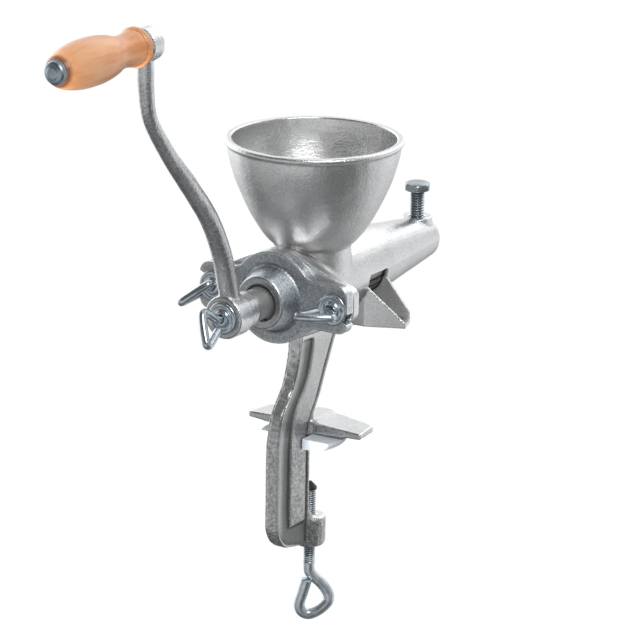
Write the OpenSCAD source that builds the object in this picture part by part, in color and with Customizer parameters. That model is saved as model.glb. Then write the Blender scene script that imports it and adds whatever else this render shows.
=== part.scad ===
// Hand cranked fruit press, cast body with a table clamp.
// Frame: +Z up, +Y towards the outlet, origin on the clamp screw axis at the table face of the jaw pad.

/* [Layout] */
// Height of the crankshaft axis above the table face
axis_z = 107; // [104:0.5:116]
// Distance from the clamp screw axis forward to the joint between cover and body
joint_d = 39.5; // [38:0.5:44]

/* [Barrel] */
// Radius of the pressing chamber at the cover
bore_r = 24.5; // [24:0.25:26]
// Radius of the pressing chamber at the shoulder behind the sieve
bore_end_r = 19.5; // [18.5:0.25:20]
// Depth of the straight seat for the cover's ring
seat_d = 4; // [2.5:0.5:6]
// Wall of the barrel
barrel_wall = 3; // [2.5:0.25:4]
// Distance from the clamp screw axis back to the shoulder behind the sieve
shoulder_d = 60; // [58:0.5:64]
// Distance from the clamp screw axis back to the open end of the outlet tube
outlet_d = 133.5; // [130:0.5:145]
// Radius of the outlet bore at its open end
outlet_r = 8.5; // [7.5:0.25:9.5]
// Wall of the outlet tube at its open end
outlet_wall = 5.5; // [4.5:0.25:6.5]
// Rounding of the outlet tube's end
outlet_round = 3.5; // [2:0.25:3.75]

/* [Hopper] */
// Distance from the clamp screw axis forward to the hopper axis
hopper_d = 1.5; // [0:0.5:5]
// Outer radius of the hopper just under its rim bead
rim_r = 55.4; // [50:0.2:60]
// Height of the rim above the shaft axis
rim_h = 95; // [88:1:105]
// Wall of the hopper at the rim
hopper_wall = 3; // [2.5:0.25:4]
// Radius of the bead round the rim
bead_r = 1.9; // [1:0.1:2.2]
// Radius of the throat that opens into the chamber
throat_r = 21; // [18:0.5:22]
// Outer radius of the neck
neck_r = 24.75; // [24.25:0.25:27]
// Height above the shaft axis at which the neck begins to flare
neck_h = 26; // [24:1:30]

/* [Front cover] */
// Radius of the round part of the cover
cover_r = 30; // [29:0.25:33]
// Thickness of the cover plate
cover_t = 7.5; // [6:0.25:9]
// Thickness of the body flange behind the cover
flange_t = 7; // [5:0.25:9]
// Step from the edge of the body flange down to the barrel
flange_step = 1; // [0.5:0.1:1.5]
// Distance of the ear screws from the shaft axis
ear_d = 45; // [42:0.5:50]
// Reach of the ears beyond their screws
ear_r = 10.8; // [10:0.2:13]
// Half height of the cover's ears
ear_h = 15.5; // [13:0.25:18]
// Radius of the corners of the ears
ear_corner = 7; // [4:0.5:9]
// Radius of the hollow blends between ears and round part of the cover
ear_blend = 12; // [8:1:20]
// Half height of the flange's ears on their higher side
ear_rise = 13.5; // [11:0.25:15]
// Half height of the flange's ears on their lower side
ear_fall = 9.5; // [8:0.25:12]
// Direction in which the cover's ear slots open, below the outward direction
slot_turn = 27; // [0:1:40]
// Radius of the shaft boss at its face
boss_r = 17.3; // [15:0.1:18]
// Radius of the shaft boss at its root
boss_root_r = 20.5; // [18:0.25:22]
// Length of the shaft boss in front of the plate
boss_len = 15; // [12:0.5:18]
// Fillet at the root of the shaft boss
boss_fillet = 3; // [1.5:0.25:4]
// Radius of the recess in the front of the shaft boss
recess_r = 12; // [11:0.25:13]
// Depth of the recess in the front of the shaft boss
recess_d = 6; // [3:0.5:8]
// Wall of the ring that centres the cover
spigot_wall = 3; // [2:0.25:4]

/* [Sieve] */
// Wall of the sieve sleeve
sieve_wall = 1.2; // [0.8:0.1:1.6]
// Number of slots round the sieve
sieve_slots = 24; // [16:1:28]
// Width of a sieve slot
slot_w = 1.6; // [1:0.1:2]
// Plain band left at each end of the sieve
sieve_band = 5; // [3:0.5:7]

/* [Auger] */
// Radius of the shaft in the cover
shaft_r = 10.2; // [9.4:0.1:10.6]
// Radius of the auger core
core_r = 11; // [10.7:0.1:13]
// Lead of the auger flight
flight_lead = 27; // [22:1:34]
// Thickness of the auger flight
flight_t = 4; // [3:0.25:5]
// Length of the conical nose behind the flight
nose_len = 16; // [10:1:24]
// Thickness of the thrust washer
thrust_t = 1.5; // [1:0.1:2]
// Across flats of the square end that carries the crank
square_w = 12; // [10:0.25:12.5]
// Length of the square end inside the hub
square_len = 13; // [11:0.5:13.5]
// Radius of the groove between the crank neck and the shaft
groove_r = 8.8; // [8:0.1:9]
// Width of the groove between the crank neck and the shaft
groove_w = 2.5; // [1:0.25:3]

/* [Crank] */
// Distance from the cover's boss face forward to the rear of the crank neck
crank_gap = 15; // [12:0.5:18]
// Radius of the crank hub
hub_r = 13.8; // [12:0.1:15]
// Length of the crank hub
hub_len = 15.5; // [14:0.5:19]
// Radius of the neck behind the hub
hub_neck_r = 11.6; // [10:0.1:12]
// Length of the neck behind the hub
hub_neck_len = 10; // [6:0.5:12]
// Distance from the shaft axis to the handle axis
throw = 190; // [180:1:210]
// Distance from the hub's front face forward to the middle of the handle boss
arm_reach = 84; // [76:0.5:92]
// Half width of the arm at the hub
arm_w_low = 7.2; // [6:0.1:8.5]
// Half width of the arm at the handle
arm_w_high = 5.2; // [4.5:0.1:5.25]
// Narrowing of the arm's half width at its upper bend
arm_waist = 0.9; // [0:0.1:1.2]
// Depth of the arm as a share of its width
arm_flat = 0.92; // [0.8:0.01:0.92]
// Radius of the boss that carries the handle
top_boss_r = 10.6; // [10:0.1:12.5]
// Length of the boss that carries the handle
top_boss_len = 10; // [9.75:0.25:12]

/* [Handle] */
// Length of the wooden grip
grip_len = 81; // [76:1:100]
// Largest radius of the grip
grip_belly_r = 14.7; // [13.5:0.1:17]
// Radius of the grip at its waist
grip_waist_r = 10; // [9.5:0.1:12]
// Radius of the ring at the crank end of the grip
grip_ring_r = 12.6; // [12:0.1:14]
// Radius of the free end of the grip
grip_end_r = 8.2; // [8:0.1:9.5]
// Radius of the handle bolt
handle_bolt_r = 4; // [3.5:0.1:4.5]
// Radius of the domed bolt head
handle_head_r = 7.2; // [6:0.1:7.4]
// Height of the domed bolt head
handle_head_h = 3.4; // [2:0.1:4]
// Radius of the washer under the bolt head
handle_washer_r = 7.7; // [7.5:0.1:8]
// Thickness of the washer under the bolt head
handle_washer_t = 1.2; // [1:0.1:2]
// Across flats of the lock nut
handle_nut_af = 19; // [15:0.5:20]
// Thickness of the lock nut
handle_nut_t = 3.2; // [2.5:0.1:5]

/* [Eye screws] */
// Radius of the eye screws' thread
eye_r = 2.9; // [2.8:0.05:3.1]
// Radius of the eye screws' wire
eye_wire_r = 2.65; // [2.4:0.05:2.7]
// Radius of the loop on the wire's centre line
eye_loop_r = 9.5; // [8:0.1:11]
// Distance from the loop's root to the loop's centre
eye_loop_d = 22.5; // [20:0.5:26]
// Radius of the cup washers
cup_r = 10.4; // [9.5:0.1:11]
// Height of the cup washers
cup_h = 3.2; // [2.5:0.1:4]
// Depth of the crank screw in the shaft
crank_screw_depth = 20; // [16:0.5:24]
// Turn of the right cover screw's loop from upright
right_eye_turn = -90; // [-180:1:180]
// Turn of the left cover screw's loop from upright
left_eye_turn = -130; // [-180:1:180]
// Turn of the crank screw's loop from upright
crank_eye_turn = 155; // [-180:1:180]
// Droop of the crank screw's loop
crank_eye_droop = -8; // [-20:1:20]
// Droop of the cover screws' loops
cover_eye_droop = 0; // [0:1:35]

/* [Regulating screw] */
// Distance from the clamp screw axis back to the regulating screw
reg_d = 124; // [116:1:130]
// Radius of the regulating screw's thread
reg_r = 5; // [4.4:0.1:5.2]
// Height of the screw pad's face above the shaft axis
reg_pad_h = 16; // [15.5:0.5:19]
// Radius of the screw pad
reg_pad_r = 10.2; // [9:0.1:11]
// Thread standing between the pad and the head
reg_free = 17.5; // [12:0.5:24]
// Across flats of the screw head
reg_head_af = 16; // [14:0.5:18]
// Height of the screw head
reg_head_h = 5.8; // [5:0.1:8]

/* [Spout] */
// Distance from the clamp screw axis back to the front wall of the spout at the barrel
spout_front = 27.5; // [26:0.5:29]
// Distance from the clamp screw axis back to the rear wall of the spout at the barrel
spout_rear = 55; // [53:0.5:57]
// Reach of the spout's lip from the shaft axis
spout_reach = 46; // [42:0.5:54]
// Width of the lip
lip_w = 14; // [12:0.5:18]
// Distance from the clamp screw axis back to the front corner of the lip
lip_front = 38.5; // [34:0.5:41]
// Drop of the spout's floor below the shaft axis
spout_drop = 33.5; // [32:0.5:38]
// Wall of the spout
spout_wall = 2; // [1.8:0.1:3]
// Slope of the spout's cut top edge
spout_cut = 45; // [38:1:52]
// Height of the lip above the floor's underside
lip_h = 3.4; // [3:0.1:6]

/* [Column] */
// Distance from the clamp screw axis forward to the front of the column
col_front = 45.5; // [43:0.5:50]
// Distance from the clamp screw axis forward to the rear of the column
col_rear = 8; // [8:0.25:10]
// Width of the column
col_w = 11; // [10:0.25:13]
// Depth to which the column's sides are sunk
panel_d = 2; // [1:0.1:3]
// Width of the rim along the column's front edge
col_rim = 2; // [1.5:0.1:3]
// Distance from the column's front edge to the raised panel
col_channel = 14; // [10:0.5:18]
// Width of the rib along the column's rear edge
col_rib = 3; // [2:0.25:5]
// Width of the groove between the raised panel and the rear rib
col_groove = 2; // [1.5:0.25:3]
// Fillet between the column and the top of the foot
foot_fillet = 9; // [6:0.5:10]
// Drop of the foot below the table face
foot_drop = 71; // [68:1:84]
// Height of the foot's boss
foot_h = 21; // [18:0.5:24]
// Radius of the foot's boss
foot_r = 10.5; // [9:0.1:12]
// Rounding of the column's lower front corner
foot_round = 20; // [14:0.5:24]

/* [Jaw] */
// Half width of the jaw
jaw_half = 43; // [40:0.5:50]
// Distance from the clamp screw axis forward to the jaw's front edge
jaw_front = 8.5; // [8.25:0.25:11]
// Distance from the clamp screw axis back to the jaw's rear edge at the middle
jaw_rear = 20; // [17:0.5:25]
// Distance from the clamp screw axis back to the jaw's rear edge at the tips
jaw_tip_rear = 12; // [8:0.5:14]
// Slant of the jaw's tips
jaw_slant = 3.3; // [0:0.1:5]
// Thickness of the jaw at the column
jaw_t = 9.5; // [8:0.25:11]
// Thickness of the jaw at the tips
jaw_tip_t = 3.5; // [3:0.1:5]
// Rise of the jaw's underside towards the tips
jaw_rise = 3; // [1:0.25:4]
// Radius of the pad under the jaw
pad_r = 28.5; // [27:0.5:32]
// Radius of the pad's flat table face
pad_face_r = 14; // [12:0.5:18]
// Distance from the clamp screw axis forward to the middle of the pad
pad_d = 8.5; // [7:0.5:10]
// Distance from the clamp screw axis forward to the pad's cut front
pad_front = 20; // [17:0.5:24]
// Thickness of the pad under the jaw
pad_t = 7.5; // [6.5:0.25:9]
// Radius of the peg that holds the pad in the jaw
peg_r = 4; // [3:0.1:5]
// Length of the peg that holds the pad in the jaw
peg_len = 4; // [3:0.1:5]

/* [Clamp screw] */
// Opening between the pad and the clamp tip as shown
clamp_gap = 27.5; // [20:0.5:30]
// Radius of the clamp screw
clamp_r = 3.9; // [3.4:0.05:4.4]
// Wire radius of the clamp screw's loop
clamp_wire_r = 3.6; // [3.2:0.05:4]
// Radius of the clamp loop on the wire's centre line
clamp_loop_r = 9.3; // [8:0.1:11]
// Distance from the clamp loop's root to its centre
clamp_loop_d = 34; // [30:0.5:38]
// Straight screw below the foot, as shown
clamp_free = 14; // [12:0.5:18]
// Turn of the clamp loop from the plane of the shaft
clamp_loop_turn = -57; // [-90:1:90]
// Radius of the clamp tip
tip_r = 4.4; // [4:0.05:5]
// Height of the clamp tip
tip_h = 5.5; // [4.5:0.1:7]
// Radius of the pin on which the clamp tip turns
tip_pin_r = 2.2; // [1.8:0.1:2.6]
// Length of the pin on which the clamp tip turns
tip_pin_len = 2.6; // [2:0.1:3]

/* [Fits] */
// Radial clearance of threads and turning shafts
run_fit = 0.08; // [0.05:0.01:0.1]
// Clearance between faces that move against each other
face_gap = 0.2; // [0.1:0.05:0.4]
// Clearance between the pad's slot and the rear of the column
pad_play = 1.5; // [0.5:0.1:2.5]
// Clearance between pieces that are slid together
slide_fit = 0.15; // [0.1:0.05:0.25]
// Running clearance round the auger flight
flight_gap = 0.8; // [0.5:0.1:1.2]

/* [Hidden] */
$fn = 64;

barrel_r = bore_r + barrel_wall;
tube_r = bore_end_r + barrel_wall;
outlet_end_r = outlet_r + outlet_wall;
joint_y = -joint_d;
cover_face_y = joint_y - cover_t;
boss_face_y = cover_face_y - boss_len;
neck_back_y = boss_face_y - crank_gap;
hub_back_y = neck_back_y - hub_neck_len;
hub_front_y = hub_back_y - hub_len;
sieve_start = throat_r - hopper_d + 5;
sieve_inset = slide_fit + sieve_wall;
thrust_r = bore_r - sieve_inset - flight_gap - 5;
thrust_back_y = joint_y + thrust_t;
flight_front_y = thrust_back_y + face_gap;
flight_len = shoulder_d - 4 - flight_front_y;
screw_hole_r = eye_r + run_fit;
foot_top_z = -foot_drop + foot_h;
top_boss_y = hub_front_y - arm_reach - top_boss_len/2;
handle_z = axis_z + throw;
arm_seat = arm_flat*arm_w_low + slide_fit;
grip_back_y = top_boss_y - handle_nut_t - face_gap;
grip_end_y = grip_back_y - grip_len;
bolt_seat_y = grip_end_y;
reg_head_z = axis_z + reg_pad_h + reg_free;
reg_tip_z = axis_z + 3.5;
clamp_top_z = -clamp_gap - tip_h;
clamp_root_z = -foot_drop - clamp_free;
far = 200;
// Line of an eye from the end of its shank: sideways in half widths, outwards in depths
eye_line = [[0.05, -0.09], [0.3, -0.2], [0.64, -0.33], [0.88, -0.43], [0.98, -0.5], [0.96, -0.58],
    [0.67, -0.68], [0.26, -0.79], [-0.2, -0.89], [-0.62, -0.97], [-0.85, -1], [-1, -0.96], [-1, -0.87],
    [-0.88, -0.7], [-0.72, -0.5], [-0.57, -0.25]];
// Line of the clamp screw's loop, in the same way
clamp_line = [[0.03, -0.12], [0.32, -0.235], [0.77, -0.35], [1.12, -0.465], [1.36, -0.58], [1.42, -0.67],
    [1.36, -0.755], [0.95, -0.875], [0.49, -0.96], [0, -1], [-0.42, -0.95], [-0.62, -0.835], [-0.6, -0.72],
    [-0.44, -0.58], [-0.28, -0.42]];
// Front edge of the column above the jaw: distance behind its foremost line, and height
column_front_line = [[0, -20], [0.5, 8], [5.7, 28], [16.5, 42], [22.5, 57]];
// Rear edge of the column above the jaw: distance behind its rear line, and height
column_rear_line = [[10.5, 31], [2.5, 17], [0, 4]];
// Line of the crank arm: distance behind and height above the hub's face, then from the handle boss
arm_low_line = [[3.5, 25], [-2.8, 44], [-16.3, 68], [-39, 94.5]];
arm_high_line = [[23, -71.5], [5, -47], [0.6, -28], [0, -13], [0, -2]];

// Radius of the chamber at the distance y behind the clamp screw axis; it narrows behind the cover's seat.
function chamber_r(y) = bore_r
    - (bore_r - bore_end_r)*max(0, y - joint_y - seat_d)/(shoulder_d - joint_y - seat_d);
// Points of a cubic curve from p[0] to p[3], drawn towards p[1] and p[2].
function curve(p, n) = [for (i = [0 : n]) let (t = i / n, s = 1 - t)
    s*s*s*p[0] + 3*s*s*t*p[1] + 3*s*t*t*p[2] + t*t*t*p[3]];
// Points of an arc round c.
function arc(c, r, a0, a1, n) = [for (i = [0 : n]) let (a = a0 + (a1 - a0)*i/n) c + r*[cos(a), sin(a)]];
// Points of a smooth line through all of p, with n steps between neighbours.
function through(p, n) = let (m = len(p) - 1) concat([for (k = [0 : m - 1], i = [0 : n - 1])
    let (t = i/n, a = p[max(k - 1, 0)], b = p[k], c = p[k + 1], d = p[min(k + 2, m)])
    0.5*(2*b + (c - a)*t + (2*a - 5*b + 4*c - d)*t*t + (3*b - a - 3*c + d)*t*t*t)], [p[m]]);
// Triangles of a closed tube of r rings with s points each, its ends closed by fans.
function tube_faces(r, s) = concat(
    [for (i = [0 : r - 2], j = [0 : s - 1]) [i*s + j, (i + 1)*s + j, i*s + (j + 1) % s]],
    [for (i = [0 : r - 2], j = [0 : s - 1]) [i*s + (j + 1) % s, (i + 1)*s + j, (i + 1)*s + (j + 1) % s]],
    [for (j = [1 : s - 2]) [0, j, j + 1]],
    [for (j = [1 : s - 2]) [(r - 1)*s, (r - 1)*s + j + 1, (r - 1)*s + j]]);

// A revolved solid whose axis is the shaft; its profile is given as [radius, distance back].
module turned(profile) {
    translate([0, 0, axis_z]) rotate([-90, 0, 0]) rotate_extrude() polygon(profile);
}
// A cylinder along the shaft direction, from y0 to y1.
module bar(r, y0, y1, x = 0, z = axis_z) {
    translate([x, y0, z]) rotate([-90, 0, 0]) cylinder(r = r, h = y1 - y0);
}
// A plate with its outline in X and Z, from y0 to y1.
module plate(y0, y1) {
    translate([0, y1, axis_z]) rotate([90, 0, 0]) linear_extrude(y1 - y0) children();
}
// A plate with its outline in Y and Z, of width w about the middle plane.
module side_plate(w) {
    rotate([90, 0, 90]) linear_extrude(w, center = true) children();
}
// A hexagon prism along Z with its flats a apart.
module hex(a, h) {
    cylinder(r = a/2/cos(30), h = h, $fn = 6);
}
// A bar bent in the YZ plane, with an oval section whose half width at each point of the path is given.
module bent_bar(path, half_w, flat, sides) {
    n = len(path) - 1;
    points = [for (i = [0 : n]) let (d = path[min(i + 1, n)] - path[max(i - 1, 0)], u = d/norm(d))
        for (j = [0 : sides - 1]) let (a = 360*j/sides, k = flat*half_w[i]*sin(a))
            [half_w[i]*cos(a), path[i].x + k*u.y, path[i].y - k*u.x]];
    polyhedron(points, tube_faces(n + 1, sides));
}
// A point of the YZ plane turned about the origin.
function turned_point(p, a) = [p.x*cos(a) - p.y*sin(a), p.x*sin(a) + p.y*cos(a)];
// A bent wire loop below the origin in the YZ plane, along one of the loop lines.
// The loop as a whole leans out of line by the given droop.
module loop(line, wire_r, half_w, depth, droop) {
    path = through(concat([[0, 2*wire_r], [0, 0.8*wire_r]],
        [for (p = line) turned_point([p.x*half_w, p.y*depth], droop)]), 2);
    bent_bar(path, [for (p = path) wire_r], 1, 12);
}
// An eye screw along the shaft direction whose loop points forward; seat_y is the face under its washer.
module eye_screw(seat_y, depth, turn, droop) {
    root_y = seat_y - cup_h;
    translate([0, root_y, 0]) rotate([0, turn, 0]) rotate([-90, 0, 0])
        loop(eye_line, eye_wire_r, eye_loop_r, eye_loop_d, droop);
    bar(eye_r, root_y, seat_y + depth, 0, 0);
}
// A dished washer with its rim on the face at seat_y.
module cup_washer(seat_y) {
    translate([0, seat_y - face_gap, 0]) rotate([90, 0, 0]) rotate_extrude() polygon([
        [screw_hole_r, 0], [cup_r, 0], [cup_r, 0.3*cup_h], [0.88*cup_r, 0.42*cup_h],
        [0.55*cup_r, 0.3*cup_h], [0.5*cup_r, 0.8*cup_h], [screw_hole_r, cup_h - face_gap]]);
}

// A closed outline from its right half; the left half is the same, turned half round.
module both_halves(half) {
    polygon(concat(half, -half));
}
// Outline of the cover: a round plate with two square ears, blended by hollow arcs.
module cover_outline() {
    corner_x = ear_d + ear_r - ear_corner;
    corner_z = ear_h - ear_corner;
    bz = ear_h + ear_blend;
    bx = sqrt((cover_r + ear_blend)*(cover_r + ear_blend) - bz*bz);
    turn = atan2(bz, bx);
    both_halves(concat(
        arc([bx, -bz], ear_blend, 180 - turn, 90, 8),
        arc([corner_x, -corner_z], ear_corner, -90, 0, 8),
        arc([corner_x, corner_z], ear_corner, 0, 90, 8),
        arc([bx, bz], ear_blend, 270, 180 + turn, 8),
        arc([0, 0], cover_r, turn, 180 - turn, 24)));
}
// Direction of the line that touches the round part and an ear's corner at height h.
function tangent_turn(h) = let (x = ear_d + ear_r - ear_corner, z = h - ear_corner)
    atan2(z, x) + acos((cover_r - ear_corner)/norm([x, z]));
// Outline of the body flange: the round part and the ears, joined by straight tangents.
module flange_outline() {
    corner_x = ear_d + ear_r - ear_corner;
    rise = tangent_turn(ear_rise);
    fall = tangent_turn(ear_fall);
    both_halves(concat(
        arc([corner_x, -ear_fall + ear_corner], ear_corner, -fall, 0, 8),
        arc([corner_x, ear_rise - ear_corner], ear_corner, 0, rise, 8),
        arc([0, 0], cover_r, rise, 180 - fall, 16)));
}

// Line of the column's front edge, from the foot up into the barrel.
function column_front(inset) = concat(
    arc([-col_front + foot_round, -foot_drop + foot_round + 6], foot_round - inset, 245, 180, 8),
    through(concat([for (p = column_front_line) [-col_front + p.x + inset, p.y]],
        [for (p = [[25, 35], [25.5, bore_r], [25.5, bore_r - 5]])
            [-col_front + p.x + inset, axis_z - p.y]]), 3));
// Line of the column's rear edge, from the barrel down to the foot.
function column_rear(inset) = through(concat(
    [for (p = [[31.5, bore_r - 6], [30, bore_r], [19, 43]]) [p.x - inset, axis_z - p.y]],
    [for (p = column_rear_line) [-col_rear + p.x - inset, p.y]],
    [[-col_rear - inset, foot_top_z + foot_fillet]]), 3);
// The column: a plate with sides sunk behind a narrow rim, and a raised panel along the rear of each side.
module column() {
    top = axis_z - 33;
    rim = concat(column_front(0), column_rear(0),
        arc([-col_rear + foot_fillet, foot_top_z + foot_fillet], foot_fillet, 180, 270, 6),
        [[2, foot_top_z], [2, -foot_drop + 1.5]]);
    sunk = concat(
        [for (p = column_front(col_rim)) if (p.y < top) p],
        [for (p = column_rear(col_rib)) if (p.y < top) p],
        [[-col_rear - col_rib, -foot_drop + 2*col_rim]]);
    panel = concat([[-col_front + col_channel, foot_top_z]],
        [for (p = column_front(col_channel)) if (p.y > foot_top_z + 2 && p.y < top + 2) p],
        [for (p = column_rear(col_rib + col_groove)) if (p.y < top + 2) p],
        [[-col_rear - col_rib - col_groove, foot_top_z]]);
    difference() {
        side_plate(col_w) polygon(rim);
        for (sx = [-1, 1]) translate([sx*col_w/2, 0, 0]) difference() {
            side_plate(2*panel_d) polygon(sunk);
            side_plate(2*panel_d + 1) polygon(panel);
        }
    }
}
module foot() {
    translate([0, 0, -foot_drop]) rotate_extrude() polygon(concat([[0, 0]],
        arc([foot_r - 4, 4], 4, 270, 360, 6), [[foot_r, foot_h - 1], [foot_r - 1, foot_h], [0, foot_h]]));
}
// The jaw: an arm to each side, tapering in plan and in thickness towards its tip.
module jaw() {
    root = col_w/2 + 0.5;
    side = [[jaw_half, pad_t + jaw_rise], [jaw_half, pad_t + jaw_rise + jaw_tip_t],
        [root + 3, pad_t + jaw_t - 1.5], [root, pad_t + jaw_t]];
    intersection() {
        translate([0, jaw_rear, 0]) rotate([90, 0, 0]) linear_extrude(jaw_rear + jaw_front) polygon(concat(
            [[root, pad_t]], side, [for (i = [3 : -1 : 0]) [-side[i].x, side[i].y]], [[-root, pad_t]]));
        linear_extrude(pad_t + jaw_t + 1) polygon([
            [-jaw_half, -jaw_front], [jaw_half, -jaw_front], [jaw_half - jaw_slant, jaw_tip_rear],
            [0, jaw_rear], [-jaw_half + jaw_slant, jaw_tip_rear]]);
    }
}
module hopper_outside() {
    flare = curve([[rim_r, rim_h - bead_r], [rim_r + 1, rim_h - 17], [neck_r + 14, neck_h + 10],
        [neck_r, neck_h]], 14);
    translate([0, -hopper_d, axis_z]) rotate_extrude() {
        polygon(concat([[0, rim_h], [rim_r, rim_h]], flare, [[neck_r, 0], [0, 0]]));
        translate([rim_r, rim_h - bead_r]) circle(bead_r, $fn = 24);
    }
}
module hopper_inside() {
    flare = curve([[rim_r - hopper_wall, rim_h - 1], [rim_r - hopper_wall + 1, rim_h - 17],
        [throat_r + 14, neck_h + 10], [throat_r, neck_h]], 14);
    translate([0, -hopper_d, axis_z]) rotate_extrude() polygon(concat(
        [[0, rim_h + 1], [rim_r - hopper_wall + 0.5, rim_h + 1]], flare, [[throat_r, 0], [0, 0]]));
}
// Corners of the spout's plan: front wall at the barrel and at the lip, rear wall at the lip and at the barrel.
spout_corners = [[bore_r - 3, spout_front], [spout_reach, lip_front],
    [spout_reach - 5, lip_front + lip_w], [bore_r - 3, spout_rear]];
// A wall's line from a to b, moved to its left by the given distance and run on past the lip.
function inner_line(a, b, wall) = let (u = (b - a)/norm(b - a), n = wall*[-u[1], u[0]])
    [a + n, b + n + lip_w*u/2];
// Everything above the slanted cut that opens the spout.
module above_spout_cut() {
    translate([spout_reach, 0, axis_z - spout_drop + lip_h]) rotate([0, spout_cut, 0])
        translate([-far, 0, 0]) cube([far + 20, far, far]);
}
module spout_outside() {
    difference() {
        translate([0, 0, axis_z - spout_drop]) linear_extrude(spout_drop)
            polygon(concat([[0, spout_front - 1]], spout_corners, [[0, spout_rear]]));
        above_spout_cut();
    }
}
module spout_inside() {
    near = inner_line(spout_corners[0], spout_corners[1], spout_wall);
    rear = inner_line(spout_corners[3], spout_corners[2], -spout_wall);
    translate([0, 0, axis_z - spout_drop + spout_wall]) linear_extrude(spout_drop - spout_wall)
        polygon([[4, spout_front - 1 + spout_wall], near[0], near[1], rear[1], rear[0],
            [4, spout_rear - spout_wall]]);
}

module housing() {
    color("silver") difference() {
        union() {
            turned(concat([[0, joint_y], [cover_r - flange_step, joint_y],
                [cover_r - flange_step, joint_y + flange_t], [barrel_r - 1, joint_y + 3*flange_t],
                [tube_r, shoulder_d + 2]],
                arc([outlet_end_r - outlet_round, outlet_d - outlet_round], outlet_round, 10, 90, 6),
                [[0, outlet_d]]));
            plate(joint_y, joint_y + flange_t) flange_outline();
            hopper_outside();
            translate([0, reg_d, axis_z]) cylinder(r = reg_pad_r, h = reg_pad_h);
            spout_outside();
            column();
            foot();
            jaw();
        }
        turned([[0, joint_y - 1], [bore_r, joint_y - 1], [bore_r, joint_y + seat_d], [bore_end_r, shoulder_d],
            [bore_end_r - sieve_inset, shoulder_d], [outlet_r, outlet_d + 1], [0, outlet_d + 1]]);
        hopper_inside();
        spout_inside();
        for (sx = [-1, 1]) bar(screw_hole_r, joint_y - 1, joint_y + flange_t + 1, sx*ear_d);
        translate([0, reg_d, axis_z]) cylinder(r = reg_r + run_fit, h = reg_pad_h + 1);
        translate([0, 0, -foot_drop - 1]) cylinder(r = clamp_r + run_fit, h = foot_h + foot_fillet + 1);
        translate([0, 0, pad_t - 1]) cylinder(r = peg_r + slide_fit, h = peg_len + 1.5);
    }
}

module front_cover() {
    color("darkgray") difference() {
        union() {
            plate(cover_face_y, joint_y) cover_outline();
            turned(concat([[0, boss_face_y], [boss_r - 1, boss_face_y], [boss_r, boss_face_y + 1]],
                arc([boss_root_r + boss_fillet, cover_face_y - boss_fillet], boss_fillet, 180, 90, 6),
                [[boss_root_r + boss_fillet, cover_face_y + 1], [0, cover_face_y + 1]]));
            turned([[0, joint_y - 1], [bore_r - slide_fit, joint_y - 1], [bore_r - slide_fit, thrust_back_y],
                [bore_r - slide_fit - spigot_wall, thrust_back_y],
                [bore_r - slide_fit - spigot_wall, joint_y], [0, joint_y]]);
        }
        bar(shaft_r + run_fit, boss_face_y - 1, joint_y + 1);
        bar(recess_r, boss_face_y - 1, boss_face_y + recess_d);
        for (side = [0, 180]) translate([0, 0, axis_z]) rotate([0, side, 0]) translate([ear_d, 0, 0]) {
            bar(screw_hole_r + slide_fit, cover_face_y - 1, joint_y + 1, 0, 0);
            rotate([0, slot_turn, 0]) translate([0, cover_face_y - 1, -screw_hole_r])
                cube([2*ear_r, cover_t + 2, 2*screw_hole_r]);
        }
    }
}

module sieve() {
    start_r = chamber_r(sieve_start) - slide_fit;
    end_r = bore_end_r - slide_fit;
    color("dimgray") difference() {
        turned([[start_r, sieve_start], [end_r, shoulder_d], [end_r - sieve_wall, shoulder_d],
            [start_r - sieve_wall, sieve_start]]);
        for (i = [0 : sieve_slots - 1]) translate([0, sieve_start + sieve_band, axis_z])
            rotate([0, i*360/sieve_slots, 0]) translate([-slot_w/2, 0, end_r - sieve_wall - 2])
            cube([slot_w, shoulder_d - sieve_start - 2*sieve_band, start_r - end_r + sieve_wall + 4]);
    }
}

module thrust_washer() {
    color("gainsboro") difference() {
        bar(thrust_r, joint_y, thrust_back_y);
        bar(shaft_r + slide_fit, joint_y - 1, thrust_back_y + 1);
    }
}

module jaw_pad() {
    color("aliceblue") difference() {
        union() {
            intersection() {
                translate([0, -pad_d, 0]) rotate_extrude() polygon(concat([[0, 0]], curve([[pad_face_r, 0],
                    [pad_face_r + 6, 0], [pad_r, pad_t/3], [pad_r, pad_t]], 10), [[0, pad_t]]));
                translate([-far/2, -pad_front, -1]) cube([far, far, pad_t + 2]);
            }
            cylinder(r = peg_r, h = pad_t + peg_len);
        }
        translate([-col_w/2 - slide_fit, -pad_r - 1, -1])
            cube([col_w + 2*slide_fit, pad_r + 1 - col_rear + pad_play, pad_t + 2]);
    }
}

// The flight is one closed helical band, worked out ring by ring.
module flight() {
    steps = 28;
    rings = ceil(flight_len/flight_lead*steps);
    root_r = core_r - 1;
    points = [for (i = [0 : rings]) let (a = 360*i/steps, y0 = flight_front_y + (flight_len - flight_t)*i/rings)
        for (c = [[0, 0], [1, 0.15], [1, 0.85], [0, 1]]) let (y = y0 + c[1]*flight_t,
            r = c[0] == 0 ? root_r : chamber_r(y) - sieve_inset - flight_gap) [r*cos(a), y, axis_z + r*sin(a)]];
    polyhedron(points, tube_faces(rings + 1, 4));
}
module auger() {
    core_end = flight_front_y + flight_len;
    color("lightgray") difference() {
        union() {
            turned([[0, hub_back_y], [groove_r, hub_back_y], [groove_r, neck_back_y + groove_w],
                [shaft_r, neck_back_y + groove_w + 0.5], [shaft_r, flight_front_y],
                [core_r + 3, flight_front_y], [core_r, flight_front_y + 4],
                [core_r, core_end], [3, core_end + nose_len], [0, core_end + nose_len]]);
            translate([-square_w/2, hub_back_y - square_len, axis_z - square_w/2])
                cube([square_w, square_len + 1, square_w]);
            flight();
        }
        bar(screw_hole_r, hub_back_y - square_len - 1, hub_front_y + crank_screw_depth + 1);
    }
}

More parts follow.
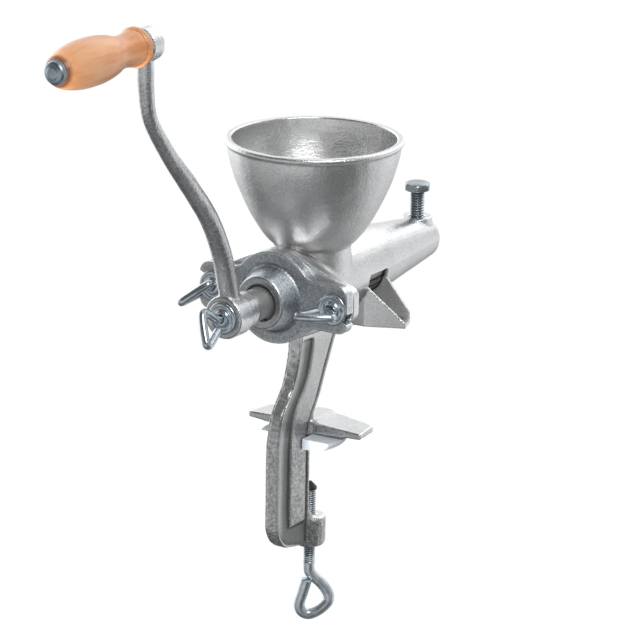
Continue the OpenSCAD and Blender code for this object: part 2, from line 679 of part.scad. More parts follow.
// The arm rises from the hub, sweeps forward and rises again to the handle boss.
module arm() {
    hub = [hub_front_y, axis_z];
    top = [hub_front_y - arm_reach, axis_z + throw];
    path = through(concat([hub + [arm_seat + 1, 4], hub + [arm_seat + 0.4, 13]],
        [for (p = arm_low_line) hub + p], [for (p = arm_high_line) top + p]), 4);
    n = len(path) - 1;
    bent_bar(path, [for (i = [0 : n]) let (t = i/n, bend = (t - 0.68)/0.17)
        arm_w_low + (arm_w_high - arm_w_low)*t - arm_waist*max(0, 1 - bend*bend)], arm_flat, 16);
}
module crank_arm() {
    color("slategray") difference() {
        union() {
            turned([[0, hub_front_y], [hub_r - 1, hub_front_y], [hub_r, hub_front_y + 1], [hub_r, hub_back_y - 1.5],
                [hub_neck_r, hub_back_y], [hub_neck_r, neck_back_y - 1], [hub_neck_r - 1, neck_back_y],
                [0, neck_back_y]]);
            arm();
            bar(top_boss_r, top_boss_y, top_boss_y + top_boss_len, 0, handle_z);
        }
        translate([0, hub_front_y - 1, axis_z]) rotate([-90, 0, 0]) cylinder(r = screw_hole_r + slide_fit, h = 20);
        translate([-square_w/2 - slide_fit, hub_back_y - square_len - 0.3, axis_z - square_w/2 - slide_fit])
            cube([square_w + 2*slide_fit, square_len + 0.3, square_w + 2*slide_fit]);
        bar(square_w*0.72, hub_back_y - square_len - 0.3, hub_back_y - square_len + 0.7);
        bar(groove_r + slide_fit, hub_back_y - 0.01, neck_back_y + 1);
        bar(handle_bolt_r + slide_fit, top_boss_y - 1, top_boss_y + top_boss_len + 1, 0, handle_z);
    }
}

module handle_bolt() {
    seat_y = bolt_seat_y - handle_washer_t;
    color("lightsteelblue") {
        bar(handle_bolt_r, seat_y - 0.5, top_boss_y + top_boss_len + 1.5, 0, handle_z);
        translate([0, seat_y, handle_z]) rotate([90, 0, 0]) rotate_extrude() polygon(concat(
            [[0, 0], [handle_head_r, 0], [handle_head_r, 0.35*handle_head_h]],
            [for (a = [15 : 15 : 90]) [handle_head_r*cos(a), handle_head_h*(0.35 + 0.65*sin(a))]]));
    }
}
module handle_washer() {
    color("lightsteelblue") difference() {
        bar(handle_washer_r, bolt_seat_y - handle_washer_t, bolt_seat_y - face_gap, 0, handle_z);
        bar(handle_bolt_r + slide_fit, bolt_seat_y - handle_washer_t - 1, bolt_seat_y + 1, 0, handle_z);
    }
}
module handle_nut() {
    color("dimgray") difference() {
        translate([0, top_boss_y, handle_z]) rotate([90, 0, 0]) hex(handle_nut_af, handle_nut_t);
        bar(handle_bolt_r + slide_fit, top_boss_y - handle_nut_t - 1, top_boss_y + 1, 0, handle_z);
    }
}
module handle_grip() {
    bead = arc([grip_ring_r - 2.6, 2.6], 2.6, -75, 70, 8);
    side = through([[grip_waist_r + 0.9, 5.6], [grip_waist_r + 0.6, 9], [grip_waist_r, 18],
        [grip_waist_r + 1.6, 26], [grip_belly_r - 1.5, 33], [grip_belly_r, 45], [grip_belly_r - 0.1, grip_len - 25],
        [grip_belly_r - 0.9, grip_len - 17], [grip_end_r + 4, grip_len - 9], [grip_end_r + 1.8, grip_len - 3],
        [grip_end_r, grip_len]], 4);
    color("burlywood") difference() {
        translate([0, grip_back_y, handle_z]) rotate([90, 0, 0]) rotate_extrude()
            polygon(concat([[0, 0]], bead, side, [[0, grip_len]]));
        bar(handle_bolt_r + run_fit, grip_end_y - 1, grip_back_y + 1, 0, handle_z);
    }
}

module crank_washer() {
    color("lightsteelblue") translate([0, 0, axis_z]) cup_washer(hub_front_y);
}
module crank_screw() {
    color("lightsteelblue") translate([0, 0, axis_z]) eye_screw(hub_front_y, crank_screw_depth,
        crank_eye_turn, crank_eye_droop);
}
module cover_washer_left() {
    color("lightsteelblue") translate([-ear_d, 0, axis_z]) cup_washer(cover_face_y);
}
module cover_screw_left() {
    color("lightsteelblue") translate([-ear_d, 0, axis_z])
        eye_screw(cover_face_y, cover_t + flange_t, left_eye_turn, cover_eye_droop);
}
module cover_washer_right() {
    color("lightsteelblue") translate([ear_d, 0, axis_z]) cup_washer(cover_face_y);
}
module cover_screw_right() {
    color("lightsteelblue") translate([ear_d, 0, axis_z])
        eye_screw(cover_face_y, cover_t + flange_t, right_eye_turn, cover_eye_droop);
}

module regulating_screw() {
    color("lightsteelblue") translate([0, reg_d, 0]) {
        translate([0, 0, reg_tip_z]) cylinder(r = reg_r, h = reg_head_z - reg_tip_z + 1);
        intersection() {
            translate([0, 0, reg_head_z]) hex(reg_head_af, reg_head_h);
            translate([0, 0, reg_head_z]) rotate_extrude() polygon([[0, 0], [reg_head_af*0.57, 0],
                [reg_head_af*0.6, 1], [reg_head_af*0.6, reg_head_h - 1.4], [reg_head_af*0.47, reg_head_h],
                [0, reg_head_h]]);
        }
    }
}

module clamp_tip() {
    color("black") difference() {
        translate([0, 0, clamp_top_z]) rotate_extrude() polygon([[0, 0], [tip_r, 0], [tip_r, 1.6],
            [tip_r - tip_h + 2.2, tip_h - 0.6], [0.9, tip_h], [0, tip_h]]);
        translate([0, 0, clamp_top_z - 1]) cylinder(r = tip_pin_r + run_fit, h = tip_pin_len + face_gap + 1);
    }
}
module clamp_screw() {
    color("lightsteelblue") {
        translate([0, 0, clamp_root_z]) cylinder(r = clamp_r, h = clamp_top_z - face_gap - clamp_root_z);
        translate([0, 0, clamp_top_z - face_gap - 1]) cylinder(r = tip_pin_r, h = tip_pin_len + 1);
        translate([0, 0, clamp_root_z]) rotate([0, 0, clamp_loop_turn])
            loop(clamp_line, clamp_wire_r, clamp_loop_r, clamp_loop_d, 0);
    }
}

housing();
front_cover();
sieve();
thrust_washer();
jaw_pad();
auger();
crank_arm();
handle_bolt();
handle_washer();
handle_nut();
handle_grip();
crank_washer();
crank_screw();
cover_washer_left();
cover_screw_left();
cover_washer_right();
cover_screw_right();
regulating_screw();
clamp_tip();
clamp_screw();
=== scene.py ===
"""Fruit press: the looks of a hand cranked press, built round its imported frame."""
import math

import bmesh
import bpy
import numpy as np
from mathutils import Matrix, Vector


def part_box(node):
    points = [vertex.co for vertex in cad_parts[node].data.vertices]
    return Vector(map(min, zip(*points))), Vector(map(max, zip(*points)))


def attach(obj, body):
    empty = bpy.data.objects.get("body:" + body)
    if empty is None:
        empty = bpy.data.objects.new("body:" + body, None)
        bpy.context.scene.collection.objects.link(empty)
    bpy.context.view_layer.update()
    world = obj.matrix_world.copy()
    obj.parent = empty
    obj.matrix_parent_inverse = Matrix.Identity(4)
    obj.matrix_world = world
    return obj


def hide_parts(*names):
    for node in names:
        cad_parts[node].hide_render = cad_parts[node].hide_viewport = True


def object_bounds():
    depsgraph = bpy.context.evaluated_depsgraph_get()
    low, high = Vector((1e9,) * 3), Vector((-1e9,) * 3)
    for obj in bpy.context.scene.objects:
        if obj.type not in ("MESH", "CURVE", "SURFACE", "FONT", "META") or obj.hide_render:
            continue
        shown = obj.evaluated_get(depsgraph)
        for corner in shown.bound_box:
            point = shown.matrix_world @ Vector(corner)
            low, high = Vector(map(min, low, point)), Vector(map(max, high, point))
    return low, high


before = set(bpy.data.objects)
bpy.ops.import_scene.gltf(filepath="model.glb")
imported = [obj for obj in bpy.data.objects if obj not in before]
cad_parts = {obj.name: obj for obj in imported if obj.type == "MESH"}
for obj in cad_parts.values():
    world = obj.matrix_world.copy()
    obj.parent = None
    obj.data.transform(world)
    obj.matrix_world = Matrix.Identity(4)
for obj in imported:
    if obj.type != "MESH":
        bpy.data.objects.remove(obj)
solid_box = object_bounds()
MM = 0.001


# Camera: a long lens from the front right and a little above, as the press was photographed.
# Its place was found from the rim, the cover, the outlet and the grip; the hub is its point of reference.
def add_object(name, data):
    """A new object in the scene, at the origin."""
    made = bpy.data.objects.new(name, data)
    bpy.context.scene.collection.objects.link(made)
    return made


view_azimuth, view_elevation, view_roll = (math.radians(a) for a in (33.0, 16.6, 0.9))
view_distance, view_right, view_up = 2.790, 0.0560, 0.0032
focal_pixels, image_pixels = 4500.0, 626.0
hub_face = Vector((0.0, -0.1025, 0.107))
toward_camera = Vector((math.sin(view_azimuth) * math.cos(view_elevation),
                        -math.cos(view_azimuth) * math.cos(view_elevation), math.sin(view_elevation)))
level_right = Vector((math.cos(view_azimuth), math.sin(view_azimuth), 0.0))
level_up = toward_camera.cross(level_right)
image_right = level_right * math.cos(view_roll) + level_up * math.sin(view_roll)
image_up = level_up * math.cos(view_roll) - level_right * math.sin(view_roll)
camera_place = hub_face + image_right * view_right + image_up * view_up + toward_camera * view_distance
camera_turn = Matrix((image_right, image_up, toward_camera)).transposed().to_4x4()
camera_data = bpy.data.cameras.new("photo_camera")
camera_data.sensor_width = 36.0
camera_data.lens = camera_data.sensor_width * focal_pixels / image_pixels
camera = add_object("photo_camera", camera_data)
camera.matrix_world = Matrix.Translation(camera_place) @ camera_turn
bpy.context.scene.camera = camera


# Stage: a plain white floor well below the press, and the soft light of a studio tent round it.
# The tent is white behind, above and at the left, and mostly dark on the camera's side, where it is open.
def add_node(tree, kind, put=(), **settings):
    """One shader node with its settings; each input is given a fixed value or the socket that feeds it."""
    made = tree.nodes.new("ShaderNode" + kind)
    for name, value in settings.items():
        setattr(made, name, value)
    for name, value in dict(put).items():
        if isinstance(value, bpy.types.NodeSocket):
            tree.links.new(value, made.inputs[name])
        else:
            made.inputs[name].default_value = value
    return made


def ranged(tree, value, start, end, low=0.0, high=1.0, **settings):
    """A value that goes from low, where the given one is at start, to high, where it is at end."""
    put = {"Value": value, "From Min": start, "From Max": end, "To Min": low, "To Max": high}
    return add_node(tree, "MapRange", put, **settings).outputs["Result"]


def new_finish(name, constants=()):
    """A new material, its node tree and its shader, with constants on some of the shader's inputs."""
    material = bpy.data.materials.new(name)
    material.use_nodes = True
    shader = material.node_tree.nodes["Principled BSDF"]
    for socket, value in dict(constants).items():
        shader.inputs[socket].default_value = value
    return material, material.node_tree, shader


bpy.context.scene.view_settings.view_transform = "Standard"
floor_half, floor_drop = 1.6, 0.16
floor_z = solid_box[0][2] - floor_drop
floor_mesh = bpy.data.meshes.new("floor")
floor_mesh.from_pydata([(x * floor_half, y * floor_half, floor_z) for x, y in ((-1, -1), (1, -1), (1, 1), (-1, 1))],
                       [], [(0, 1, 2, 3)])
floor = add_object("floor", floor_mesh)
floor_mesh.materials.append(new_finish("floor_paint", {
    "Base Color": (0.0, 0.0, 0.0, 1), "Roughness": 1.0, "Specular IOR Level": 0.0,
    "Emission Color": (1, 1, 1, 1), "Emission Strength": 1.0})[0])
floor.visible_glossy = floor.visible_diffuse = floor.visible_shadow = False

world = bpy.data.worlds.new("studio_tent")
bpy.context.scene.world = world
world.use_nodes = True
tent = world.node_tree
tent.nodes.clear()
ray = add_node(tent, "TexCoord").outputs["Generated"]
glow = add_node(tent, "Value").outputs[0]
glow.default_value = 0.13
# Each bright wall: its direction, the angles from it in degrees of full and of no light, and its strength.
for wall, full, none, strength in (
        ((0.50, 0.85, 0.12), 25, 62, 0.53),     # white paper behind, at the right
        ((-0.50, 0.80, 0.28), 20, 48, 0.72),    # white paper behind, at the left
        ((0.05, 0.45, 1.00), 20, 58, 0.46),     # cloth overhead
        ((-1.00, 0.22, 0.05), 12, 46, 1.15),    # cloth at the left
        ((0.25, 0.75, -0.60), 20, 55, 0.24),    # floor behind
        ((0.95, -0.35, 0.25), 10, 40, 0.26),    # cloth at the right
        ((-0.52, -0.80, -0.29), 12, 42, 0.34),  # floor in front, at the left
        ((0.25, -0.92, -0.29), 8, 32, 0.48),    # paper in front, below the lens
        ((0.10, -0.45, -0.90), 10, 45, 0.07)):  # floor in front
    facing = add_node(tent, "VectorMath", {0: ray, 1: Vector(wall).normalized()}, operation="DOT_PRODUCT")
    share = ranged(tent, facing.outputs["Value"], math.cos(math.radians(none)), math.cos(math.radians(full)),
                   0.0, strength, interpolation_type="SMOOTHSTEP")
    glow = add_node(tent, "Math", {0: glow, 1: share}, operation="ADD").outputs[0]
cloth = add_node(tent, "Background", {"Color": (0.975, 0.99, 1.0, 1), "Strength": glow})
paper = add_node(tent, "Background", {"Color": (1, 1, 1, 1), "Strength": 1.0})
seen = add_node(tent, "LightPath")
both = add_node(tent, "MixShader", {0: seen.outputs["Is Camera Ray"], 1: cloth.outputs[0], 2: paper.outputs[0]})
add_node(tent, "OutputWorld", {"Surface": both.outputs[0]})


def soft_box(name, place, aim, size, watts):
    """A rectangular lamp of the given sides at place, turned to face aim."""
    lamp = bpy.data.lights.new(name, "AREA")
    lamp.shape, lamp.size, lamp.size_y, lamp.energy = "RECTANGLE", size[0], size[1], watts
    holder = add_object(name, lamp)
    facing = (Vector(aim) - Vector(place)).to_track_quat("-Z", "Y")
    holder.matrix_world = Matrix.LocRotScale(Vector(place), facing, None)
    return holder


press_middle = (0.0, -0.02, 0.09)
soft_box("light_key", (0.95, -0.85, 1.35), press_middle, (0.9, 0.9), 11)
soft_box("light_back", (0.3, 1.2, 1.1), press_middle, (1.2, 0.8), 1.5)
soft_box("light_fill", (-0.5, -1.5, -0.2), press_middle, (1.2, 1.2), 54).visible_glossy = False


# Cast body: hopper, barrel, outlet tube, spout, column, jaw and foot in one aluminium sand casting.
# Its edges are rounded as the mould and the tumbling drum left them, and its skin keeps the grain of the sand.
def working_copy(name, node):
    """A new piece with the shape of a frame node, its loose triangles joined at their corners."""
    same_place = 1e-6
    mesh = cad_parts[node].data.copy()
    mesh.materials.clear()
    joined = bmesh.new()
    joined.from_mesh(mesh)
    bmesh.ops.remove_doubles(joined, verts=joined.verts, dist=same_place)
    joined.to_mesh(mesh)
    joined.free()
    return add_object(name, mesh)


def rows(items, name):
    """A property of all the items that has three numbers each, as an array of rows."""
    flat = np.empty(3 * len(items))
    items.foreach_get(name, flat)
    return flat.reshape(-1, 3)


def evened(points, edges, steps):
    """Each step moves every point towards the mean of its neighbours by that share, or away for a negative one."""
    count = np.bincount(edges.ravel(), minlength=len(points))[:, None]
    for share in steps:
        total = np.stack([np.bincount(edges[:, 0], points[edges[:, 1], k], len(points))
                          + np.bincount(edges[:, 1], points[edges[:, 0], k], len(points)) for k in range(3)], 1)
        points = points + share * (total / np.maximum(count, 1) - points)
    return points


def swell(points, length, seed):
    """Slow ups and downs from about -1 to 1: the mean of twelve sine waves of that length in fixed directions."""
    waves, gain = 12, 2.4
    chance = np.random.default_rng(seed)
    turns = chance.normal(size=(waves, 3))
    turns *= (2 * np.pi / length) / np.linalg.norm(turns, axis=1, keepdims=True)
    return np.sin(points @ turns.T + chance.uniform(0, 2 * np.pi, waves)).mean(1) * gain


def with_modifiers(piece):
    """Puts the piece's modifiers into its mesh."""
    ready = piece.evaluated_get(bpy.context.evaluated_depsgraph_get())
    mesh = bpy.data.meshes.new_from_object(ready)
    piece.modifiers.clear()
    piece.data = mesh
    return mesh


def note(mesh, name, values):
    """Keeps one number for each point of the mesh, for the piece's material to read."""
    mesh.attributes.new(name, "FLOAT", "POINT").data.foreach_set("value", values.astype(np.float32))


def moved(mesh, points):
    """Puts the mesh's points at new places."""
    mesh.vertices.foreach_set("co", points.ravel())
    mesh.update()


def recast(piece, grain, rounds, unevenness=0.0, marks=None, most=0, soft=None):
    """Makes the piece again as an even skin of small squares, rounds its edges, and notes where the skin stands
    proud or sunk (wear and hollow shade, from 0 to 1, 0.5 on flat skin: high on proud edges, which are rubbed
    bright, and low in hollows, which get painted shade). The skin is evened in pairs of steps, in and out, so it
    keeps its size, and then moved along its normals by slow swells and by the marks, which give for points and
    normals a distance to move, a coarseness, a darkening for dull skin and painted shade and, if wanted, a
    mattness. Where soft gives a share for the points, edges are rounded by that share of a second, plain evening.
    At last faces are merged down to the most wanted."""
    step_in, step_out, wide_step = 0.5, -0.51, 0.6
    soft_rounds, wear_rounds, wear_rounds_least, wear_blur = 9, 14, 6, 3
    wear_height, wear_grain = 0.9 * MM, 1.0 * MM
    long_swell, short_swell, short_share = 0.022, 0.009, 0.6
    remesh = piece.modifiers.new("even_skin", "REMESH")
    remesh.mode, remesh.voxel_size, remesh.adaptivity = "VOXEL", grain, 0.0
    mesh = with_modifiers(piece)
    edges = np.empty(2 * len(mesh.edges), dtype=np.int32)
    mesh.edges.foreach_get("vertices", edges)
    edges = edges.reshape(-1, 2)
    points = evened(rows(mesh.vertices, "co"), edges, [step_in, step_out] * rounds)
    if soft:
        points = points + soft(points)[:, None] * (evened(points, edges, [step_in] * soft_rounds) - points)
    moved(mesh, points)
    normals = rows(mesh.vertex_normals, "vector")
    reach = max(wear_rounds_least, int(wear_rounds * (wear_grain / grain) ** 2))
    proud = ((points - evened(points, edges, [wide_step] * reach)) * normals).sum(1) / wear_height
    proud = evened(np.repeat(proud[:, None], 3, 1), edges, [wide_step] * wear_blur)[:, 0]
    # Low values are hollows, which the cast skin darkens as painted shade.
    note(mesh, "wear_and_hollow_shade", np.clip(0.5 + 0.5 * proud, 0, 1))
    move = unevenness * (swell(points, long_swell, 3) + short_share * swell(points, short_swell, 5))
    if marks:
        shift, *skin = marks(points, normals)
        move = move + shift
        for name, values in zip(("coarse", "dull_and_shade", "matt"), skin):
            note(mesh, name, values)
    moved(mesh, points + normals * move[:, None])
    if most and 2 * len(mesh.polygons) > most:
        thin = piece.modifiers.new("fewer_faces", "DECIMATE")
        thin.ratio = most / (2 * len(mesh.polygons))
        mesh = with_modifiers(piece)
    mesh.shade_smooth()
    mesh.update()
    return piece


def noise(tree, place, scale, detail=2.0, roughness=0.5):
    """Cloudy noise from 0 to 1 at the place."""
    put = {"Vector": place, "Scale": scale, "Detail": detail, "Roughness": roughness}
    return add_node(tree, "TexNoise", put).outputs["Fac"]


def mixed(tree, share, low, high, kind="MIX"):
    """A colour that goes from low to high with the share."""
    put = {"Factor": share, "A": low, "B": high}
    return add_node(tree, "Mix", put, data_type="RGBA", blend_type=kind).outputs["Result"]


def noted(tree, name):
    """The number that the mesh keeps under that name; 0 where it keeps none."""
    return add_node(tree, "Attribute", attribute_name=name).outputs["Fac"]


def feed_bump(tree, shader, strength, distance, height):
    """Tilts the shader's normal by a height."""
    bump = add_node(tree, "Bump", {"Strength": strength, "Distance": distance, "Height": height})
    tree.links.new(bump.outputs["Normal"], shader.inputs["Normal"])


def cast_skin(name, colour, dark, roughness, grain_size, grain_depth):
    """Sand cast metal: a fine bumpy grain and cloudy colour between the two given ones. Where an edge stands proud
    the skin is rubbed brighter and smoother, and in hollows it gets painted shade, as does all of a piece that has
    no wear noted; coarse skin has a deeper and wider grain, the dull and shade mark darkens the skin, for dull skin
    and for painted shade alike, and matt skin spreads its light."""
    coarse_scale, coarse_dark, cloud_scale = 0.7, 0.54, 60.0
    fine_bump, grain_share, cloud_share = 0.35, 0.95, 0.25
    hollow_dark, dull_and_shade_dark, matt_metal, edge_polish = 0.42, 0.25, 0.25, 0.10
    edge_tone = (0.88, 0.885, 0.89, 1)
    material, tree, shader = new_finish(name)
    place = add_node(tree, "TexCoord").outputs["Object"]
    wear_and_shade, coarse, dull_and_shade, matt = (noted(tree, a) for a in ("wear_and_hollow_shade", "coarse", "dull_and_shade", "matt"))
    fine = noise(tree, place, 1 / grain_size, 1.5, 0.5)
    rough = noise(tree, place, coarse_scale / grain_size, 2.0, 0.6)
    grain = add_node(tree, "Mix", {"Factor": coarse, "A": fine, "B": rough}).outputs["Result"]
    feed_bump(tree, shader, ranged(tree, coarse, 0.0, 1.0, fine_bump, 1.0), grain_depth / fine_bump, grain)

    cloud = noise(tree, place, cloud_scale, 4.0)
    grained = add_node(tree, "Math", {0: grain, 1: grain_share}, operation="MULTIPLY").outputs[0]
    tone = add_node(tree, "Math", {0: cloud, 1: cloud_share, 2: grained}, operation="MULTIPLY_ADD").outputs[0]
    deep = mixed(tree, coarse, (*dark, 1), (*(coarse_dark * c for c in dark), 1))
    plain = mixed(tree, ranged(tree, tone, 0.43, 0.77), deep, (*colour, 1))
    rubbed = mixed(tree, ranged(tree, wear_and_shade, 0.60, 0.90), plain, edge_tone)
    # Painted shade: skin sunk below its neighbours is darkened.
    hollow = ranged(tree, wear_and_shade, 0.12, 0.42, hollow_dark)
    # The dull and shade mark darkens the colour, for dull skin and for painted shade.
    dulled_and_shaded = ranged(tree, dull_and_shade, 0.0, 1.0, 1.0, dull_and_shade_dark)
    shade = add_node(tree, "Math", {0: hollow, 1: dulled_and_shaded}, operation="MULTIPLY").outputs[0]
    tree.links.new(mixed(tree, 1.0, rubbed, shade, "MULTIPLY"), shader.inputs["Base Color"])

    tree.links.new(ranged(tree, matt, 0.0, 1.0, 1.0, matt_metal), shader.inputs["Metallic"])
    polish = ranged(tree, wear_and_shade, 0.55, 0.9, roughness, roughness - edge_polish)
    tree.links.new(polish, shader.inputs["Roughness"])
    return material


def dress(piece, material, slot, body, *replaced):
    """Gives the piece its finish, the body that it rides on and the nodes it stands for, which it hides; slot is not
    used.
    """
    piece.data.materials.clear()
    piece.data.materials.append(material)
    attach(piece, body)
    if replaced:
        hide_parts(*replaced)


def rise(value, low, high):
    """0 below low, 1 above high, and a straight line between."""
    return np.clip((value - low) / (high - low), 0, 1)


def fall(value, low, high):
    """1 below low, 0 above high, and a straight line between."""
    return rise(-value, -high, -low)


# The column's front face: its heights and how far back it stands there, and its grooves, all in mm.
front_z, front_back, front_y = (-20, 8, 28, 42, 57, 72), (0, 0.5, 5.7, 16.5, 22.5, 25), -45.5
groove_x, groove_half, groove_depth, drag_step = 4.0, 0.55, 0.45, 0.2


def body_marks(points, normals):
    """The skin of the body's lower half: the front of the column is a rough strip between two grooves, which get
    painted shade; its sides and its foot are coarse, and the column's faces that do not look up are darker, partly
    dull skin and partly painted shade that leaves the tops light; the channel in each side is smooth and gets
    painted shade that deepens towards the raised panel; the drag half of the tube is a little low and gets a
    little painted shade, and the inside of the spout is matt. Places are in mm."""
    x, y, z = (points / MM).T
    forward, upward = -normals[:, 1], rise(normals[:, 2], 0.55, 0.8)
    column = fall(z, 70, 76) * fall(abs(x), 9, 12)
    front = rise(forward, 0.45, 0.75) * fall(abs(x), 5.2, 5.6) * column * rise(z, -66, -60)
    groove = np.exp(-((abs(x) - groove_x) / groove_half) ** 2) * front
    strip = fall(abs(x), 3.2, 3.9) * front
    behind = y - front_y - np.interp(z, front_z, front_back)
    sideways = rise(abs(normals[:, 0]), 0.5, 0.8) * column
    channel = fall(abs(x), 4.4, 4.9) * sideways
    panel = rise(abs(x), 4.7, 5.2) * rise(behind, 11, 14) * sideways
    drag = fall(z, 106.6, 107.4) * rise(y, 30, 34)
    lumps = 0.18 * swell(points, 0.0055, 11) * rise(z, 5, 25) + 0.12 * swell(points, 0.003, 13)
    shift = (-groove_depth * groove - drag_step * drag + strip * lumps) * MM
    coarse = fall(z, 6, 46) * (1 - 0.9 * channel) * (1 - upward)
    # Painted shade, with some dull skin: below the jaw the column is darker except where it looks up, its channels
    # darken towards the panels, its grooves are dark, and the drag half of the tube is a little darker.
    dull_and_shade = (fall(z, 66, 82) * (1 - upward)
            * (0.22 * (1 - strip) + 0.80 * channel * rise(behind, 3, 9) + 0.12 * panel)
            + 0.5 * groove + 0.16 * drag)
    spout = rise(x, 5, 8) * rise(y, 26, 28) * fall(y, 54, 56) * rise(z, 73, 74) * fall(z, 100, 104)
    rear_wall = rise(forward, 0.4, 0.7) * rise(y, 44, 46)
    near_wall = rise(-forward, 0.4, 0.7) * fall(y, 47, 49)
    matt = spout * np.clip(rear_wall + near_wall + rise(normals[:, 2], 0.6, 0.85), 0, 1)
    return shift, coarse, np.clip(dull_and_shade, 0, 1), matt


def body_soft(points):
    """The column and the foot have the roundest edges of the casting."""
    x, _, z = (points / MM).T
    return fall(z, 66, 74) * fall(abs(x), 11, 14)


body_skin = cast_skin("cast_aluminium", (0.87, 0.87, 0.87), (0.70, 0.70, 0.70), 0.32, 1.15 * MM, 0.22 * MM)
cast_body = recast(working_copy("cast_body", "housing"), 0.8 * MM, 3, 0.10 * MM, body_marks, 190000, body_soft)
dress(cast_body, body_skin, "cast_body", "body", "housing")


# Sieve: a sleeve of punched steel sheet, slid into the bore against its shoulder.
# It is only seen through the spout, so the solid itself is shown, in dull steel.
def ramp(tree, value, start, low, end, high):
    """A colour that goes from low, where the value is at start, to high, where it is at end."""
    made = add_node(tree, "ValToRGB", {"Fac": value})
    for stop, place, colour in zip(made.color_ramp.elements, (start, end), (low, high)):
        stop.position, stop.color = place, (*colour, 1)
    return made.outputs["Color"]


def cloudy(name, low, high, scale, roughness, constants=()):
    """A plain finish whose colour drifts between two tones in clouds of the given size."""
    material, tree, shader = new_finish(name, {"Roughness": roughness, **dict(constants)})
    cloud = noise(tree, add_node(tree, "TexCoord").outputs["Object"], scale, 3.0)
    tree.links.new(ramp(tree, cloud, 0.3, low, 0.7, high), shader.inputs["Base Color"])
    feed_bump(tree, shader, 0.3, 0.05 * MM, cloud)
    return material


def finish_solid(node, material):
    """Gives a frame node that is shown as it is its finish."""
    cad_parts[node].data.materials.clear()
    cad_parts[node].data.materials.append(material)


finish_solid("sieve", cloudy("punched_steel", (0.24, 0.24, 0.25), (0.40, 0.40, 0.41), 160.0, 0.42, {"Metallic": 1.0}))


# Auger: a cast shaft with one helical flight, its journal turned smooth where it runs in the cover.
# The thrust washer, a white moulded ring, lies between the flight and the cover.
def surface(name, points, around=False, along=False):
    """A mesh from a grid of points; around and along close the grid on itself in its second and first direction."""
    same_place, sharp_angle = 1e-7, math.radians(35)
    lines, columns = points.shape[:2]
    i = np.arange(lines if along else lines - 1)[:, None]
    j = np.arange(columns if around else columns - 1)[None, :]
    a, b = i * columns + j, i * columns + (j + 1) % columns
    c, d = ((i + 1) % lines) * columns + (j + 1) % columns, ((i + 1) % lines) * columns + j
    mesh = bpy.data.meshes.new(name)
    mesh.from_pydata(points.reshape(-1, 3), [], np.stack([a, b, c, d], -1).reshape(-1, 4).tolist())
    joined = bmesh.new()
    joined.from_mesh(mesh)
    bmesh.ops.remove_doubles(joined, verts=joined.verts, dist=same_place)
    bmesh.ops.recalc_face_normals(joined, faces=joined.faces)
    joined.to_mesh(mesh)
    joined.free()
    mesh.shade_smooth()
    mesh.set_sharp_from_angle(angle=sharp_angle)
    return add_object(name, mesh)


def placed(across, side, along, centre, axis):
    """Points from two coordinates across an axis and one along it; the axis is 'y' or 'z' through centre."""
    if axis == "y":
        return np.stack([centre[0] + across, centre[1] + along, centre[2] + side], -1)
    return np.stack([centre[0] + across, centre[1] + side, centre[2] + along], -1)


def turned(name, profile, centre, axis, closed=False, steps=96):
    """A lathe piece: each point of the profile, given as radius and distance along the axis, is carried round it."""
    profile = np.asarray(profile, float)
    angle = np.linspace(0, 2 * np.pi, steps, endpoint=False)[None, :]
    radius, along = profile[:, :1], profile[:, 1:] + 0 * angle
    return surface(name, placed(radius * np.cos(angle), radius * np.sin(angle), along, centre, axis), True, closed)


shaft_axis = np.array([0.0, 0.0, 0.107])
auger_skin = cast_skin("cast_auger", (0.92, 0.92, 0.92), (0.74, 0.74, 0.74), 0.40, 1.2 * MM, 0.26 * MM)
core_profile = np.array([
    (0, -86.8), (8.6, -86.8), (8.8, -77.0), (8.8, -75.4), (9.0, -74.9), (9.9, -74.3), (10.2, -73.7),
    (10.2, -37.8), (14.0, -37.8), (11.6, -34.6), (11.0, -31.8), (11.0, 56.0), (3.4, 71.2), (2.6, 72.0),
    (0, 72.0)]) * MM
core_matt = 0.7
# The core and the flight have no wear noted, so the cast skin's painted hollow shade darkens them all over.
auger_core = turned("auger_core", core_profile, shaft_axis, "y")
note(auger_core.data, "matt", np.full(len(auger_core.data.vertices), core_matt))
dress(auger_core, auger_skin, "cast_auger", "crank", "auger")

auger_low, auger_high = (np.array(v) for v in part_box("auger"))
flight_r = (auger_high[0] - auger_low[0]) / 2
core_r, flight_lead, flight_t, flight_sunk, flight_foot, flight_lip = (v * MM for v in (11.0, 27.0, 4.0, 1.0, 2.0, 0.8))
flight_front, flight_back, taper_start = (v * MM for v in (-37.8, 56.0, -35.5))
flight_taper, flight_steps = 5.0 / 95.5, 220
flight_length = flight_back - flight_front
flight_turn = np.linspace(0, 2 * np.pi * flight_length / flight_lead, flight_steps)[:, None]
# The flight's section: radius, and share of its thickness.
flight_radius, flight_share = np.array([
    (core_r - flight_sunk, 0.0), (core_r + flight_foot, 0.05), (flight_r - flight_lip, 0.13), (flight_r, 0.3),
    (flight_r, 0.7), (flight_r - flight_lip, 0.87), (core_r + flight_foot, 0.95), (core_r - flight_sunk, 1.0)]).T
flight_along = (flight_front + (flight_length - flight_t) * flight_turn / flight_turn.max()
                + flight_share[None, :] * flight_t)
flight_rim = flight_radius[None, :] > core_r + 1.5 * flight_foot
flight_reach = flight_radius[None, :] - flight_rim * flight_taper * np.maximum(flight_along - taper_start, 0)
auger_flight = surface("auger_flight", placed(flight_reach * np.cos(flight_turn), flight_reach * np.sin(flight_turn),
                                              flight_along, shaft_axis, "y"), True)
dress(auger_flight, auger_skin, "cast_auger", "crank", "auger")
finish_solid("thrust_washer", cloudy("white_moulding", (0.78, 0.78, 0.75), (0.88, 0.88, 0.86), 90.0, 0.45))


